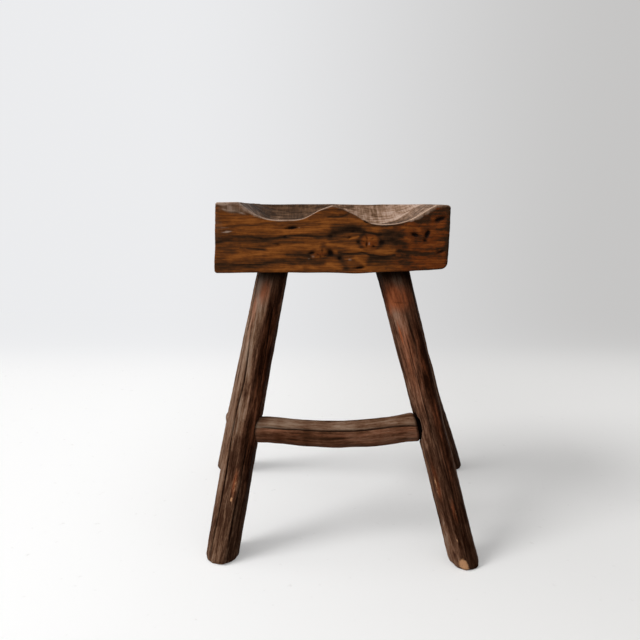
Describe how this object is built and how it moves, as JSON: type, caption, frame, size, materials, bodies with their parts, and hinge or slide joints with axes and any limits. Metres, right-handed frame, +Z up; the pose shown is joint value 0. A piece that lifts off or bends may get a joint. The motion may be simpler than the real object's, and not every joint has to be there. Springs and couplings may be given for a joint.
{
  "type": "saddle stool",
  "caption": "Rustic stool with a thick hewn block seat carved as a saddle, splayed branch legs and a bowed stretcher across the front.",
  "frame": {"origin": "middle of the feet's outline, on the floor", "axes": "+Z up, -Y toward the stool's front, where the pommel and the stretcher are, +X toward its right side as seen from the front"},
  "size_m": [0.5995, 0.4595, 0.6393],
  "materials": {
    "seat_wood": "oiled, worn, dark grain",
    "leg_wood": "weathered dark brown",
    "stretcher_wood": "weathered grey brown"
  },
  "bodies": {
    "root": {"seat_block": "seat_wood", "leg_front_left": "leg_wood", "leg_front_right": "leg_wood", "leg_rear_left": "leg_wood", "leg_rear_right": "leg_wood", "front_stretcher": "stretcher_wood"}
  },
  "joints": []
}
